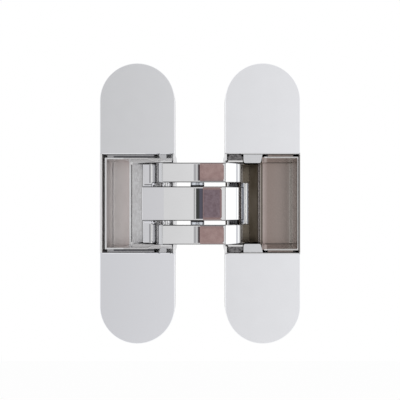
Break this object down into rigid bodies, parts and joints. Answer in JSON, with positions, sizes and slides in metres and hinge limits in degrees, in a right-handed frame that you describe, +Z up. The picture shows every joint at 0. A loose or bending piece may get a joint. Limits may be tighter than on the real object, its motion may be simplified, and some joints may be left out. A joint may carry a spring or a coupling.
{
  "type": "concealed door hinge",
  "caption": "Concealed adjustable door hinge: cast leaves with carriers, crossed fork and centre arms on a shared pin, height plates, cams and covers, shown open flat.",
  "frame": {"origin": "centre of the left leaf's fixing screw holes, on the face of that leaf that seats on the bottom of the routed recess", "axes": "+X from the left leaf to the right leaf, +Y into the wood away from the viewer, +Z up along the hinge"},
  "size_m": [0.0857, 0.035, 0.12],
  "materials": {
    "left_housing_metal": "satin chrome plated zinc casting",
    "right_housing_metal": "satin chrome plated zinc casting",
    "left_cover_metal": "satin chrome plated cover",
    "right_cover_metal": "satin chrome plated cover",
    "left_carrier_metal": "satin nickel plated zinc casting",
    "right_carrier_metal": "satin nickel plated zinc casting",
    "fork_arm_metal": "bright chrome plated zinc casting",
    "centre_arm_metal": "bright chrome plated zinc casting",
    "pin_steel": "ground steel pin",
    "washer_steel": "polished steel washer",
    "bush_polymer": "dark polymer bearing bush",
    "height_plate_steel": "zinc plated steel plate",
    "cam_steel": "turned steel cam",
    "left_retainer_metal": "chrome plated plate",
    "right_retainer_metal": "chrome plated plate",
    "screw_steel": "steel screw"
  },
  "bodies": {
    "left_frame": {"left_housing": "left_housing_metal", "left_upper_cover": "left_cover_metal", "left_lower_cover": "left_cover_metal"},
    "height_slide": {"upper_height_plate": "height_plate_steel", "lower_height_plate": "height_plate_steel", "left_upper_retainer": "left_retainer_metal", "left_lower_retainer": "left_retainer_metal", "left_retainer_screws": "screw_steel"},
    "height_cam": {"height_cam": "cam_steel"},
    "upper_side_cam": {"upper_side_cam": "cam_steel"},
    "lower_side_cam": {"lower_side_cam": "cam_steel"},
    "left_carrier": {"left_carrier": "left_carrier_metal", "left_upper_pivot_bush": "bush_polymer", "left_lower_pivot_bush": "bush_polymer"},
    "fork_arm": {"fork_arm": "fork_arm_metal", "left_pivot_pin": "pin_steel", "centre_pin": "pin_steel", "upper_spacer_washer": "washer_steel", "lower_spacer_washer": "washer_steel", "right_slide_pin": "pin_steel", "right_upper_slide_bush": "bush_polymer", "right_lower_slide_bush": "bush_polymer"},
    "centre_arm": {"centre_arm": "centre_arm_metal", "right_pivot_pin": "pin_steel", "left_slide_pin": "pin_steel", "left_upper_slide_bush": "bush_polymer", "left_lower_slide_bush": "bush_polymer"},
    "right_carrier": {"right_carrier": "right_carrier_metal", "right_upper_pivot_bush": "bush_polymer", "right_lower_pivot_bush": "bush_polymer"},
    "right_frame": {"right_housing": "right_housing_metal", "right_upper_cover": "right_cover_metal", "right_lower_cover": "right_cover_metal", "right_upper_retainer": "right_retainer_metal", "right_lower_retainer": "right_retainer_metal", "right_retainer_screws": "screw_steel"},
    "upper_depth_screw": {"upper_depth_screw": "screw_steel"},
    "lower_depth_screw": {"lower_depth_screw": "screw_steel"}
  },
  "joints": [
    {"name": "height_slide", "type": "slide", "parent": "left_frame", "child": "height_slide", "axis": [0, 0, 1], "range_m": [-0.0012, 0.0012]},
    {"name": "height_cam_turn", "type": "hinge", "parent": "left_frame", "child": "height_cam", "pos_m": [0.0025, 0, -0.0401], "axis": [0, 1, 0], "range_deg": [-30.01, 30.01]},
    {"name": "side_slide", "type": "slide", "parent": "height_slide", "child": "left_carrier", "axis": [1, 0, 0], "range_m": [-0.0011, 0.0005]},
    {"name": "upper_side_cam_turn", "type": "hinge", "parent": "height_slide", "child": "upper_side_cam", "pos_m": [-0.0025, 0, 0.0286], "axis": [0, 1, 0], "range_deg": [-18.76, 41.26]},
    {"name": "lower_side_cam_turn", "type": "hinge", "parent": "height_slide", "child": "lower_side_cam", "pos_m": [-0.0025, 0, -0.0286], "axis": [0, 1, 0], "range_deg": [-41.26, 18.76]},
    {"name": "left_fold", "type": "hinge", "parent": "left_carrier", "child": "fork_arm", "pos_m": [0.01205, -0.003, 0], "axis": [0, 0, -1], "range_deg": [0, 101.47]},
    {"name": "arm_cross", "type": "hinge", "parent": "fork_arm", "child": "centre_arm", "pos_m": [0.02575, -0.017, 0], "axis": [0, 0, -1], "range_deg": [-21.02, 0]},
    {"name": "right_fold", "type": "hinge", "parent": "centre_arm", "child": "right_carrier", "pos_m": [0.04165, -0.003, 0], "axis": [0, 0, -1], "range_deg": [0, 99.56]},
    {"name": "depth_slide", "type": "slide", "parent": "right_carrier", "child": "right_frame", "axis": [0, 1, 0], "range_m": [-0.001, 0.001]},
    {"name": "upper_depth_screw_turn", "type": "hinge", "parent": "right_carrier", "child": "upper_depth_screw", "pos_m": [0.0618, 0, 0.029], "axis": [0, 1, 0], "range_deg": [-450.1, 450.1]},
    {"name": "lower_depth_screw_turn", "type": "hinge", "parent": "right_carrier", "child": "lower_depth_screw", "pos_m": [0.0618, 0, -0.029], "axis": [0, 1, 0], "range_deg": [-450.1, 450.1]}
  ],
  "couplings": [
    {"joint": "height_cam_turn", "follows": "height_slide", "rad_per_m": -436.33},
    {"joint": "upper_side_cam_turn", "follows": "side_slide", "rad_per_m": -654.5},
    {"joint": "lower_side_cam_turn", "follows": "side_slide", "rad_per_m": 654.5},
    {"joint": "arm_cross", "follows": "left_fold", "ratio": -0.20714},
    {"joint": "right_fold", "follows": "left_fold", "ratio": 0.98112},
    {"joint": "upper_depth_screw_turn", "follows": "depth_slide", "rad_per_m": -7854},
    {"joint": "lower_depth_screw_turn", "follows": "depth_slide", "rad_per_m": -7854}
  ]
}
